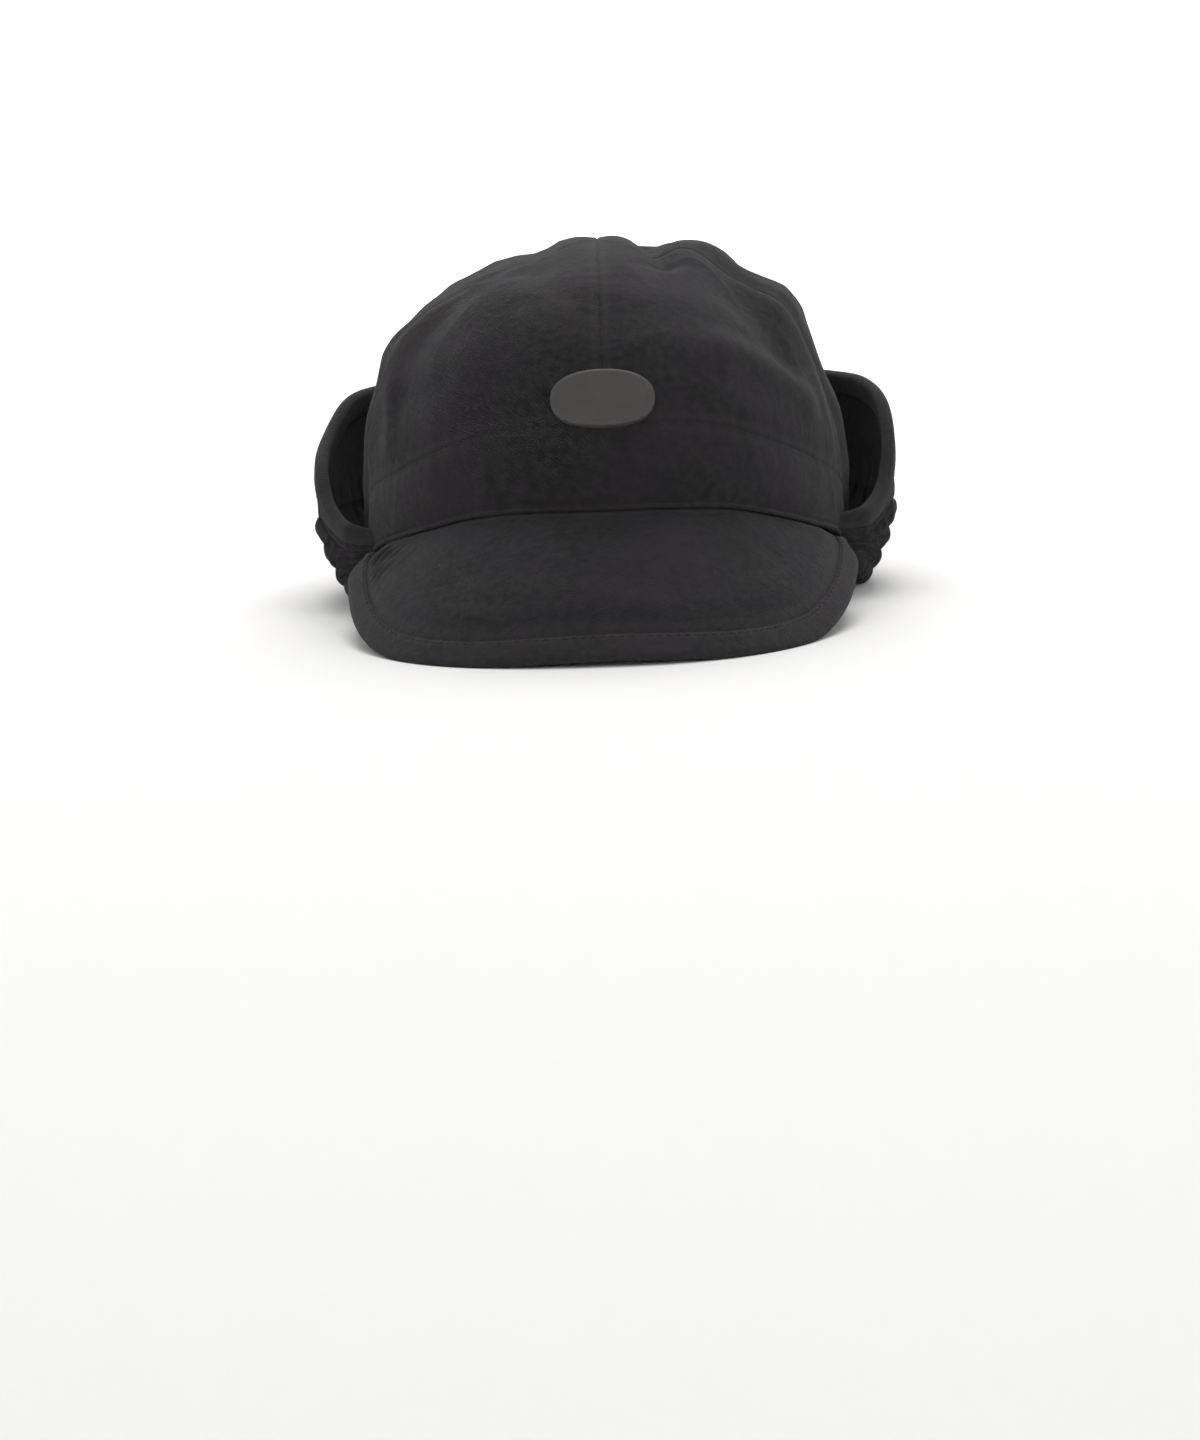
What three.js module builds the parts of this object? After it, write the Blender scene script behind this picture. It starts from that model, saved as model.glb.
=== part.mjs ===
// Earflap cap of soft black cotton: a four-panel crown, a front band, a soft bound peak, an oval
// front patch and one flap that runs round the sides and back, turned up over its shirred fold.
// Millimetres, +Z up. The wearer looks along -Y and X runs across the head.
// The cap is modelled as it is worn, then pitched so that peak and fold rest on the plane z = 0.
import * as THREE from "three";

// Rest
const restPitch = 6.5; // degrees between the worn cap and the cap on a table
const seamGap = 0.3; // between pieces that are sewn together

// Crown
const crownHalfWidth = 90.5;
const crownFrontReach = 100; // from the crown's axis to the forehead
const crownBackReach = 106;
const crownTop = 131.5; // above the table, at the axis
const wallTop = 42; // the crown's wall is upright below this height
const wallStep = 1.5; // height of one degree of latitude on the upright wall
const sideFullness = 2.2; // exponent of the dome's outline: 2 is round, more is squarer
const frontFullness = 2.8;
const backFullness = 2.3;
const crownCloth = 2.4; // shell and lining together
const sideSeamAngle = 78; // from the front centre to the seam over the ear
const tipLatitude = 89.7; // where a panel's point is cut off at the crown's top

// Relief of the crown
const seamDip = 1.3; // how deep a seam pulls the cloth in
const seamWidth = 4.5;
const seamPuff = 1.1; // how far the cloth stands up beside a seam
const foldDepth = 4; // the deepest fold of the soft crown

// Front band
const seamHeight = 44.5; // the peak's seam above the table, at the front centre
const bandHeight = 30;

// Peak
const peakRootAngle = 67.5; // from the front centre to the peak's corner at the temple
const peakCloth = 3;
const peakHalfWidth = 88.5;
const peakReach = 157.5; // from the crown's axis to the peak's front edge
const peakBack = 41; // from the crown's axis to the peak's corner
const peakSquareness = 3.1;
const peakLift = 20; // the peak's corner above its front edge
const peakCamber = 3.5;

// Bindings
const bindingCloth = 1;
const bindingWidth = 6.5;
const bindingShare = 0.6; // most of a short sheet that its binding covers

// Earflap
const flapStartAngle = 69.2; // from the front centre to the flap's end at the temple
const flapCloth = 3;
const flapHeight = 72.5; // the turned-up edge above the table, beside the ears
const flapStand = 16.5; // how far the edge stands off the crown
const foldRadius = 4.5;
const foldSink = 1.2; // how far the soft fold is pressed flat by the table
const shirrHeight = 27; // shirred height above the fold
const elasticRows = 3; // puffs between elastic threads above the fold
const gatherCount = 38; // gathers from temple to temple
const gatherDepth = 0.8;
const puffDepth = 1.3;

// Patch
const patchLength = 36;
const patchHeight = 21.5;
const patchThickness = 1.8;
const patchBevel = 0.6;
const patchLatitude = 28;

// Grids of the cloth walls
const panelColumns = 12;
const frontRows = 9;
const backRows = 12;
const bandRows = 4;
const peakColumns = 34;
const peakRows = 6;
const flapColumns = 2 * gatherCount;
const legRows = 1;
const foldRows = 3;
const puffRows = 2;
const flapRows = 3;
const bindingRows = 5;
const patchColumns = 10;
const patchRows = 8;

const degree = Math.PI / 180;
const bindingReach = seamGap + bindingCloth; // a binding's outer face above the cloth that it holds

// The rim: the crown's lower edge above the table, as a share of seamHeight
const rimSections = [
  { angle: 0, height: 1.0 },
  { angle: 13, height: 0.995 },
  { angle: 28, height: 0.95 },
  { angle: 45, height: 0.8 },
  { angle: 57, height: 0.675 },
  { angle: 68, height: 0.565 },
  { angle: 78, height: 0.385 },
  { angle: 88, height: 0.255 },
  { angle: 98, height: 0.225 },
  { angle: 140, height: 0.225 },
  { angle: 180, height: 0.225 },
];

// The band's height as a share of bandHeight
const bandSections = [
  { angle: 0, height: 1.0 },
  { angle: 15, height: 0.985 },
  { angle: 30, height: 0.95 },
  { angle: 47, height: 0.88 },
  { angle: 64, height: 0.79 },
  { angle: 80, height: 0.77 },
];

// The peak's edge: turn is measured round the peak from its front centre, lift is a share of peakLift
const peakSections = [
  { turn: 0, lift: 0.05 },
  { turn: 11, lift: 0.03 },
  { turn: 23, lift: 0.005 },
  { turn: 32, lift: 0.0 },
  { turn: 40, lift: 0.04 },
  { turn: 49, lift: 0.22 },
  { turn: 60, lift: 0.5 },
  { turn: 69, lift: 0.73 },
  { turn: 79, lift: 0.92 },
  { turn: 90, lift: 1.0 },
];

// The flap round the head: edge is a share of flapHeight and stand a share of flapStand, radius is
// the fold's and drop the fold's depth under the rim, both as shares of foldRadius
const flapSections = [
  { angle: 69, edge: 0.4, stand: 0.27, radius: 0.5, drop: 1.2 },
  { angle: 74, edge: 0.41, stand: 0.37, radius: 0.7, drop: 1.7 },
  { angle: 79, edge: 0.44, stand: 0.56, radius: 0.85, drop: 2.1 },
  { angle: 84.5, edge: 0.53, stand: 0.8, radius: 1.0, drop: 2.3 },
  { angle: 90, edge: 0.68, stand: 0.95, radius: 1.0, drop: 2.2 },
  { angle: 95.5, edge: 0.81, stand: 1.02, radius: 1.0, drop: 2.15 },
  { angle: 101, edge: 0.91, stand: 1.05, radius: 1.0, drop: 2.15 },
  { angle: 110, edge: 0.985, stand: 1.04, radius: 1.0, drop: 2.15 },
  { angle: 122, edge: 1.0, stand: 1.02, radius: 1.0, drop: 2.15 },
  { angle: 150, edge: 0.985, stand: 0.98, radius: 1.0, drop: 2.15 },
  { angle: 180, edge: 0.95, stand: 0.95, radius: 1.0, drop: 2.15 },
];

// The flap's wall from the fold to the edge: how much of its stand it has reached
const flapProfile = [
  { rise: 0, stand: 0 },
  { rise: 0.1, stand: 0.12 },
  { rise: 0.2, stand: 0.3 },
  { rise: 0.3, stand: 0.55 },
  { rise: 0.4, stand: 0.8 },
  { rise: 0.55, stand: 1.02 },
  { rise: 0.8, stand: 1.08 },
  { rise: 1.0, stand: 1.0 },
];

// Folds of the crown on a map seen from above: the crown's top is at 0, 0, a point's distance from
// it is 90 less its latitude, x runs to +X and y to the back. Width is in degrees of that map, and
// lift is a share of foldDepth, negative for a valley.
const crownFolds = [
  { fold: "raised top of the front seam", from: [-2, -3], to: [-1, -26], width: 7, lift: 0.4 },
  { fold: "valley left of it", from: [-11, 4], to: [-10, -26], width: 5, lift: -0.45 },
  { fold: "notch right of it", from: [9, 12], to: [10, -9], width: 5, lift: -0.75 },
  { fold: "lobe beside the notch", from: [20, -4], to: [32, 4], width: 9, lift: 0.85 },
  { fold: "right shoulder", from: [47, -10], to: [54, -6], width: 10, lift: 0.75 },
  { fold: "hollow of the right front", from: [36, -21], to: [46, -30], width: 9, lift: -0.75 },
  { fold: "slanting ridge below it", from: [30, -43], to: [58, -36], width: 7, lift: 0.5 },
  { fold: "right side sinks", from: [67, -4], to: [68, -22], width: 8, lift: -0.4 },
  { fold: "left shoulder sinks", from: [-26, -2], to: [-46, -2], width: 12, lift: -0.7 },
  { fold: "left side swell", from: [-54, -6], to: [-58, -20], width: 9, lift: 0.5 },
  { fold: "left front swell", from: [-24, -20], to: [-34, -42], width: 12, lift: 0.45 },
  { fold: "back left hollow", from: [-20, 24], to: [-42, 46], width: 12, lift: -0.4 },
  { fold: "back right swell", from: [14, 30], to: [30, 58], width: 13, lift: 0.35 },
];

// A smooth curve through one column of a table, by its first column
function curveThrough(rows, key, column) {
  const keys = rows.map((row) => row[key]);
  const values = rows.map((row) => row[column]);
  const curve = new THREE.CubicInterpolant(keys, values, 1, [0]);
  return (at) => curve.evaluate(THREE.MathUtils.clamp(Math.abs(at), keys[0], keys.at(-1)))[0];
}

const rimShare = curveThrough(rimSections, "angle", "height");
const bandShare = curveThrough(bandSections, "angle", "height");
const peakEdgeLift = curveThrough(peakSections, "turn", "lift");
const flapEdge = curveThrough(flapSections, "angle", "edge");
const flapStandShare = curveThrough(flapSections, "angle", "stand");
const flapRadiusShare = curveThrough(flapSections, "angle", "radius");
const flapDropShare = curveThrough(flapSections, "angle", "drop");
const flapWallShare = curveThrough(flapProfile, "rise", "stand");

// Height of the table under the worn cap
const tableAt = (y) => -y * Math.tan(restPitch * degree);

// Crown
function planPoint(angle) {
  const ahead = Math.cos(angle * degree);
  const reach = ahead > 0 ? crownFrontReach : crownBackReach;
  return new THREE.Vector3(crownHalfWidth * Math.sin(angle * degree), -reach * ahead, 0);
}

// The direction that points straight out of the crown's upright wall
function planNormal(angle) {
  const ahead = Math.cos(angle * degree);
  const reach = ahead > 0 ? crownFrontReach : crownBackReach;
  const across = Math.sin(angle * degree);
  return new THREE.Vector3(across / crownHalfWidth, -ahead / reach, 0).normalize();
}

function fullnessAt(angle) {
  const ahead = Math.cos(angle * degree);
  const end = ahead > 0 ? frontFullness : backFullness;
  return sideFullness + (end - sideFullness) * ahead * ahead;
}

function latitudeAt(angle, height) {
  if (height <= wallTop) return (height - wallTop) / wallStep;
  const share = (height - wallTop) / (crownTop - wallTop);
  return Math.asin(Math.pow(share, fullnessAt(angle) / 2)) / degree;
}

function crownPoint(angle, latitude) {
  const point = planPoint(angle);
  if (latitude <= 0) return point.setZ(wallTop + latitude * wallStep);
  const power = 2 / fullnessAt(angle);
  point.multiplyScalar(Math.pow(Math.cos(latitude * degree), power));
  const rise = Math.pow(Math.sin(latitude * degree), power);
  return point.setZ(wallTop + (crownTop - wallTop) * rise);
}

const rimHeight = (angle) => tableAt(planPoint(angle).y) + seamHeight * rimShare(angle);
const bandTop = (angle) => rimHeight(angle) + bandHeight * bandShare(angle);

const hill = (distance, width) => Math.exp(-Math.pow(distance / width, 2));

// Cloth near a seam: pulled in at the seam and puffed up beside it
function seamRelief(distance) {
  const puff = seamPuff * hill(distance - 2 * seamWidth, 1.5 * seamWidth);
  return puff - (seamDip + seamPuff) * hill(distance, seamWidth);
}

function foldRelief(angle, latitude) {
  const reach = 90 - latitude;
  const spot = new THREE.Vector2(Math.sin(angle * degree), -Math.cos(angle * degree));
  spot.multiplyScalar(reach);
  let lift = 0;
  for (const { from, to, width, lift: share } of crownFolds) {
    const start = new THREE.Vector2(...from);
    const line = new THREE.Vector2(...to).sub(start);
    const along = spot.clone().sub(start).dot(line) / line.lengthSq();
    const nearest = start.addScaledVector(line, THREE.MathUtils.clamp(along, 0, 1));
    lift += share * foldDepth * hill(spot.distanceTo(nearest), width);
  }
  return lift;
}

// Seams that run from the rim to the top, as angles from the front centre
const crownSeams = [0, sideSeamAngle, 180, -sideSeamAngle];

// Folds and seams together, where toEdge is the distance to the seam along the panel's lower edge
function crownRelief(angle, latitude, toEdge) {
  const point = crownPoint(angle, latitude);
  const radius = Math.hypot(point.x, point.y);
  const distances = crownSeams.map((seam) => {
    const turn = (angle - seam) * degree;
    return Math.cos(turn) > 0 ? Math.abs(Math.sin(turn)) * radius : radius;
  });
  return foldRelief(angle, latitude) + seamRelief(Math.min(...distances, toEdge));
}

// The crown's outer face, moved out or in by its relief
function reliefPoint(angle, latitude, relief) {
  const step = 0.2;
  const point = crownPoint(angle, latitude);
  const east = crownPoint(angle + step, latitude).sub(crownPoint(angle - step, latitude));
  const north = crownPoint(angle, latitude + step).sub(crownPoint(angle, latitude - step));
  return point.addScaledVector(east.cross(north).normalize(), relief);
}

// Cloth wall: the two faces of a box of columns by rows are moved to both sides of a sheet, which
// gives a point for a place across, a place up and a distance off it
function clothWall(sheet, columns, rows, outside, inside) {
  const geometry = new THREE.BoxGeometry(1, 1, 1, columns, rows, 1);
  const place = geometry.getAttribute("position");
  for (let i = 0; i < place.count; i++) {
    const off = place.getZ(i) > 0 ? outside : -inside;
    const point = sheet(place.getX(i) + 0.5, place.getY(i) + 0.5, off);
    place.setXYZ(i, point.x, point.y, point.z);
  }
  geometry.computeVertexNormals();
  return geometry;
}

// Columns drawn closer together at both ends, where the seams are
const towardsEnds = (share) => share - (0.6 * Math.sin(2 * Math.PI * share)) / (2 * Math.PI);

// A crown panel between two seams, moved off both by half the seam gap
function crownPanel(fromAngle, toAngle, startHeight, rows) {
  const middle = (fromAngle + toAngle) / 2;
  const halfTurn = (toAngle - fromAngle) / 2;
  const shift = seamGap / 2 / Math.sin(halfTurn * degree);
  const away = new THREE.Vector3(Math.sin(middle * degree), -Math.cos(middle * degree), 0);
  const sheet = (across, up, off) => {
    const angle = fromAngle + (toAngle - fromAngle) * towardsEnds(across);
    const start = latitudeAt(angle, startHeight(angle));
    const latitude = THREE.MathUtils.lerp(start, tipLatitude, up);
    const toEdge = startHeight === bandSeam ? (latitude - start) * wallStep : Infinity;
    const point = reliefPoint(angle, latitude, crownRelief(angle, latitude, toEdge) + off);
    return point.addScaledVector(away, shift);
  };
  return clothWall(sheet, panelColumns, rows, 0, crownCloth);
}

const bandSeam = (angle) => bandTop(angle) + seamGap;

// The front band lies between the peak's seam and the crown's two front panels
function frontBand() {
  const limit = sideSeamAngle - seamGap / 2 / crownHalfWidth / degree;
  const sheet = (across, up, off) => {
    const fromMiddle = 2 * across - 1;
    const angle = limit * Math.sign(fromMiddle) * towardsEnds(Math.abs(fromMiddle));
    const height = THREE.MathUtils.lerp(rimHeight(angle), bandTop(angle), up);
    const latitude = latitudeAt(angle, height);
    const toSide = (limit - Math.abs(angle)) * degree * crownHalfWidth;
    const seams = seamRelief(Math.min(bandTop(angle) - height, toSide));
    return reliefPoint(angle, latitude, foldRelief(angle, latitude) * up + seams + off);
  };
  return clothWall(sheet, 2 * panelColumns, bandRows, 0, crownCloth);
}

// Peak: a sheet from the seam under the band to the outline, along -1 to 1 and out 0 to 1
function peakRoot(along) {
  const angle = along * peakRootAngle;
  const root = crownPoint(angle, latitudeAt(angle, rimHeight(angle)));
  root.addScaledVector(planNormal(angle), -crownCloth / 2);
  return root.setZ(rimHeight(angle) - seamGap - peakCloth / 2);
}

function peakOutline(along) {
  const turn = along * 90;
  const side = Math.abs(Math.sin(turn * degree)) / peakHalfWidth;
  const front = Math.abs(Math.cos(turn * degree)) / (peakReach - peakBack);
  const sum = Math.pow(side, peakSquareness) + Math.pow(front, peakSquareness);
  const reach = Math.pow(sum, -1 / peakSquareness);
  const x = reach * Math.sin(turn * degree);
  const y = -peakBack - reach * Math.cos(turn * degree);
  const rest = peakCloth / 2 + bindingReach; // the binding's underside touches the table
  return new THREE.Vector3(x, y, tableAt(y) + rest + peakLift * peakEdgeLift(turn));
}

// The peak stands on edge at its seam and square to its own slope at its outline
function peakSheet(along, out, off) {
  const root = peakRoot(along);
  const slope = peakOutline(along).sub(root);
  const point = root.addScaledVector(slope, out);
  point.z += peakCamber * 4 * out * (1 - out) * (1 - along * along);
  const level = new THREE.Vector3(0, 0, 1);
  const square = level.clone().addScaledVector(slope, -slope.z / slope.lengthSq()).normalize();
  return point.addScaledVector(level.lerp(square, out).normalize(), off);
}

const peakAlong = (across) => 2 * towardsEnds(across) - 1;
const peakCover = (along) => coverOf(peakRoot(along).distanceTo(peakOutline(along)));

// The share of a sheet's length that its binding covers
function coverOf(length) {
  return Math.min(bindingWidth / length, bindingShare);
}

function peakBody() {
  const sheet = (across, up, off) => peakSheet(peakAlong(across), 1 - up, off);
  return clothWall(sheet, peakColumns, peakRows, peakCloth / 2, peakCloth / 2);
}

// A binding folded round a sheet's edge: along the sheet's inside, round its edge, then back over
// its outside. edgeOf gives the sheet as out runs from 0 at its root to 1 at its edge.
function bindingPoint(edgeOf, cover, thickness, up, off) {
  const leg = 1 / bindingRows;
  const half = thickness / 2 + bindingReach + off;
  const back = up < 0.5 ? 1 - up / leg : 1 - (1 - up) / leg;
  const turn = THREE.MathUtils.clamp((up - leg) / (1 - 2 * leg), 0, 1) * Math.PI;
  const point = edgeOf(1 - cover * Math.max(back, 0), -half * Math.cos(turn));
  const outward = edgeOf(1, 0).sub(edgeOf(1 - cover, 0)).normalize();
  return point.addScaledVector(outward, half * Math.sin(turn));
}

function peakBinding() {
  const sheet = (across, up, off) => {
    const along = peakAlong(across);
    const edgeOf = (out, lift) => peakSheet(along, out, lift);
    return bindingPoint(edgeOf, peakCover(along), peakCloth, up, off);
  };
  return clothWall(sheet, peakColumns, bindingRows, 0, bindingCloth);
}

// Earflap: rise runs from 0 above the fold to 1 at the turned-up edge; below 0 it rounds the fold
// (down to -1) and climbs the short leg to the rim (down to -2)
const flapAngle = (across) => THREE.MathUtils.lerp(flapStartAngle, 360 - flapStartAngle, across);
const fromFront = (angle) => (angle > 180 ? 360 - angle : angle);

function flapSizes(angle) {
  const turn = fromFront(angle);
  const radius = foldRadius * flapRadiusShare(turn);
  const rim = seamHeight * rimShare(turn) - seamGap;
  const pressed = flapCloth / 2 - foldSink;
  const bottom = Math.max(rim - foldRadius * flapDropShare(turn), pressed);
  const edge = flapHeight * flapEdge(turn);
  const wall = edge - bottom - radius;
  return { turn, radius, rim, bottom, edge, wall };
}

// The flap's section: how far it stands off the rim and how high above the table
function flapSection(angle, rise) {
  const { turn, radius, rim, bottom, wall } = flapSizes(angle);
  const bend = THREE.MathUtils.clamp(-rise, 0, 1) * Math.PI;
  const section = new THREE.Vector2(radius - crownCloth / 2, bottom + radius);
  section.x += radius * Math.cos(bend);
  section.y -= radius * Math.sin(bend);
  if (rise > 0) {
    const stand = Math.max(flapStand * flapStandShare(turn) - section.x, 0);
    section.x += stand * flapWallShare(rise);
    section.y += wall * rise;
  }
  if (rise < -1) section.y += (rim - bottom - radius) * (-rise - 1);
  return section;
}

function flapSheet(angle, rise, off) {
  const step = 0.01;
  const section = flapSection(angle, rise);
  const slope = flapSection(angle, rise + step).sub(flapSection(angle, rise - step)).normalize();
  section.addScaledVector(new THREE.Vector2(slope.y, -slope.x), off);
  const point = planPoint(angle).addScaledVector(planNormal(angle), section.x);
  return point.setZ(tableAt(point.y) + section.y);
}

// Where the shirring ends and the smooth flap begins, as a rise
function shirrTop(angle) {
  const { wall } = flapSizes(angle);
  return Math.min(shirrHeight / wall, 0.9 * (1 - coverOf(wall)));
}

// Shirring: puffs between the elastic threads, crossed by the gathers
function shirring() {
  const foldEnd = legRows + foldRows;
  const rows = foldEnd + puffRows * elasticRows;
  const sheet = (across, up, off) => {
    const angle = flapAngle(across);
    const row = up * rows;
    const above = Math.max(row - foldEnd, 0) / puffRows;
    const round = THREE.MathUtils.clamp((row - legRows) / foldRows, 0, 1);
    const leg = Math.min(row / legRows, 1);
    const puff = Math.abs(Math.sin(Math.PI * above));
    const ripple = puff + Math.sin(Math.PI * round) / 2;
    const gather = Math.cos(2 * Math.PI * gatherCount * across);
    const lift = puffDepth * puff + gatherDepth * ripple * gather;
    const rise = above > 0 ? (above / elasticRows) * shirrTop(angle) : leg + round - 2;
    return flapSheet(angle, rise, off + lift);
  };
  const geometry = clothWall(sheet, flapColumns, rows, flapCloth / 2, flapCloth / 2);
  return pressedFlat(geometry);
}

// Cloth that would reach under the table is pressed flat on it
function pressedFlat(geometry) {
  const place = geometry.getAttribute("position");
  for (let i = 0; i < place.count; i++) {
    place.setZ(i, Math.max(place.getZ(i), tableAt(place.getY(i))));
  }
  return geometry;
}

function flapPanel() {
  const sheet = (across, up, off) => {
    const angle = flapAngle(across);
    const start = shirrTop(angle) + seamGap / flapSizes(angle).wall;
    return flapSheet(angle, THREE.MathUtils.lerp(start, 1, up), off);
  };
  return clothWall(sheet, flapColumns, flapRows, flapCloth / 2, flapCloth / 2);
}

function flapBinding() {
  const sheet = (across, up, off) => {
    const angle = flapAngle(across);
    const edgeOf = (out, lift) => flapSheet(angle, out, -lift);
    return bindingPoint(edgeOf, coverOf(flapSizes(angle).wall), flapCloth, up, off);
  };
  return clothWall(sheet, flapColumns, bindingRows, 0, bindingCloth);
}

// Patch: a bevelled oval over the band's seam, bent round the crown and lying on the seam's puffs
function frontPatch() {
  const middle = crownPoint(0, patchLatitude);
  const rise = crownPoint(0, patchLatitude + 1).sub(middle).normalize();
  const facing = new THREE.Vector3(0, -rise.z, rise.y);
  const bend = (-middle.y * crownHalfWidth * crownHalfWidth) / (crownFrontReach * crownFrontReach);
  const geometry = new THREE.BoxGeometry(2, 2, 1, patchColumns, patchRows, 1);
  const place = geometry.getAttribute("position");
  for (let i = 0; i < place.count; i++) {
    const s = place.getX(i);
    const t = place.getY(i);
    const front = place.getZ(i) > 0;
    const inset = front ? patchBevel : 0;
    const turn = ((patchLength / 2 - inset) * s * Math.sqrt(1 - (t * t) / 2)) / bend;
    const up = (patchHeight / 2 - inset) * t * Math.sqrt(1 - (s * s) / 2);
    const out = bend + seamPuff + seamGap + (front ? patchThickness : 0);
    const point = middle.clone().addScaledVector(rise, up);
    point.addScaledVector(facing, out * Math.cos(turn) - bend);
    point.x += out * Math.sin(turn);
    place.setXYZ(i, point.x, point.y, point.z);
  }
  geometry.computeVertexNormals();
  return geometry;
}

const cotton = { color: 0x1d1c1e, roughness: 0.95, metalness: 0 };
const rubber = { color: 0x45423f, roughness: 0.6, metalness: 0 };

function piece(name, geometry, finish) {
  const mesh = new THREE.Mesh(geometry, new THREE.MeshStandardMaterial(finish));
  mesh.name = name;
  return mesh;
}

const worn = new THREE.Group();
worn.add(
  piece("crown_front_left", crownPanel(-sideSeamAngle, 0, bandSeam, frontRows), cotton),
  piece("crown_front_right", crownPanel(0, sideSeamAngle, bandSeam, frontRows), cotton),
  piece("crown_back_right", crownPanel(sideSeamAngle, 180, rimHeight, backRows), cotton),
  piece("crown_back_left", crownPanel(-180, -sideSeamAngle, rimHeight, backRows), cotton),
  piece("front_band", frontBand(), cotton),
  piece("peak", peakBody(), cotton),
  piece("peak_binding", peakBinding(), cotton),
  piece("earflap_shirring", shirring(), cotton),
  piece("earflap", flapPanel(), cotton),
  piece("earflap_binding", flapBinding(), cotton),
  piece("front_patch", frontPatch(), rubber),
);

// On the table, with the middle of its outline over the origin
worn.rotation.x = restPitch * degree;
const cap = new THREE.Group();
cap.add(worn);
cap.updateMatrixWorld(true);
const outline = new THREE.Box3().setFromObject(cap, true);
const middle = outline.getCenter(new THREE.Vector3());
worn.position.set(-middle.x, -middle.y, -outline.min.z);

export default cap;
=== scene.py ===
# Earflap cap of soft black cotton, resting on a pale floor.
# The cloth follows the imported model's own curves. Lengths are millimetres in the worn cap's frame,
# with the peak towards -Y, and toFloor pitches them onto the floor and turns them into metres.
import math

import bmesh
import bpy
import numpy as np
from mathutils import Matrix, Vector, noise
from mathutils.bvhtree import BVHTree


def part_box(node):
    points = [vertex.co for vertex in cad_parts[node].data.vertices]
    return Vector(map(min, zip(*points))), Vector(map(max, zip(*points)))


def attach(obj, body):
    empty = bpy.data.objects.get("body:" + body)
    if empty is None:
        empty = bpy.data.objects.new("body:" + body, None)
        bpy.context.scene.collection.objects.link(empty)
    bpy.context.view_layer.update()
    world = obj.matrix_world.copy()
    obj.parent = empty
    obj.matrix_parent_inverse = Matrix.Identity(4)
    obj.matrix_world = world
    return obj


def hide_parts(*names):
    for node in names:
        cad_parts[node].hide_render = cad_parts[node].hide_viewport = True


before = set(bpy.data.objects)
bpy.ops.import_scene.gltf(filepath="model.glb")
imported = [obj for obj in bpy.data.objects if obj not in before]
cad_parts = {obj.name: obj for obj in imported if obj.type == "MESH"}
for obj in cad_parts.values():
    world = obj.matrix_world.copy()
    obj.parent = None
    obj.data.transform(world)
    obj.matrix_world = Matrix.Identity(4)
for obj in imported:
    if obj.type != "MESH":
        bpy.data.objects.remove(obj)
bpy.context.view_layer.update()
print("cap: the packed model is loaded")

degree = math.pi / 180

# Camera

view = {
    "place": (0.0, -1.1083, 0.1816),  # metres
    "down": 11.64,  # degrees below level
    "left": 0.26,
    "roll": 2.0,
    "lens": 75,
}


def makeCamera():
    lens = bpy.data.cameras.new("camera")
    lens.lens = view["lens"]
    camera = bpy.data.objects.new("camera", lens)
    turn = Matrix.Rotation(view["left"] * degree, 4, "Z")
    pitch = Matrix.Rotation((90 - view["down"]) * degree, 4, "X")
    roll = Matrix.Rotation(-view["roll"] * degree, 4, "Z")
    camera.matrix_world = Matrix.Translation(view["place"]) @ turn @ pitch @ roll
    bpy.context.scene.collection.objects.link(camera)
    bpy.context.scene.camera = camera


makeCamera()

# Curves and small helpers

restPitch = 6.5  # degrees between the worn cap and the cap on the floor


def curveThrough(rows, at):
    # a smooth curve through a short table of places and values
    keys, values = np.array(rows, float).T
    at = np.clip(np.abs(at), keys[0], keys[-1])
    last = len(keys) - 1
    i = np.clip(np.searchsorted(keys, at, side="right") - 1, 0, last - 1)
    before = np.where(i > 0, i - 1, i + 1)
    after = np.where(i < last - 1, i + 2, i)
    step = keys[i + 1] - keys[i]
    pull = step / 2 / (keys[i] - keys[before])
    push = step / 2 / (keys[after] - keys[i + 1])
    p = (at - keys[i]) / step
    q = p * p
    r = q * p
    curve = (-pull * r + 2 * pull * q - pull * p) * values[before]
    curve += ((1 + pull) * r - (1.5 + 2 * pull) * q + (pull - 0.5) * p + 1) * values[i]
    curve += ((1.5 + push) * q - (1 + push) * r + 0.5 * p) * values[i + 1]
    return curve + (push * r - push * q) * values[after]


def hill(distance, width):
    return np.exp(-((distance / width) ** 2))


def ramp(value, start, end):
    # from 0 at start to 1 at end, with soft ends
    share = np.clip((value - start) / (end - start), 0, 1)
    return share * share * (3 - 2 * share)


def unit(vectors):
    return vectors / np.linalg.norm(vectors, axis=-1, keepdims=True)


def joined(*parts):
    # one array of points from arrays of x, y and z
    return np.stack(np.broadcast_arrays(*parts), -1)


def roughness(points, size, seed=0.0):
    # soft noise from -1 to 1, with lumps of about that size
    flat = (points / size + seed).reshape(-1, 3).tolist()
    return np.array([noise.noise(spot) for spot in flat]).reshape(points.shape[:-1])


def towardsEnds(share, pull):
    return share - pull * np.sin(2 * math.pi * share) / (2 * math.pi)


def grid(columns, rows):
    return np.meshgrid(np.linspace(0, 1, columns + 1), np.linspace(0, 1, rows + 1))


def tableAt(y):
    return -y * math.tan(restPitch * degree)


# Crown's plain form, folds and seams

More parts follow.
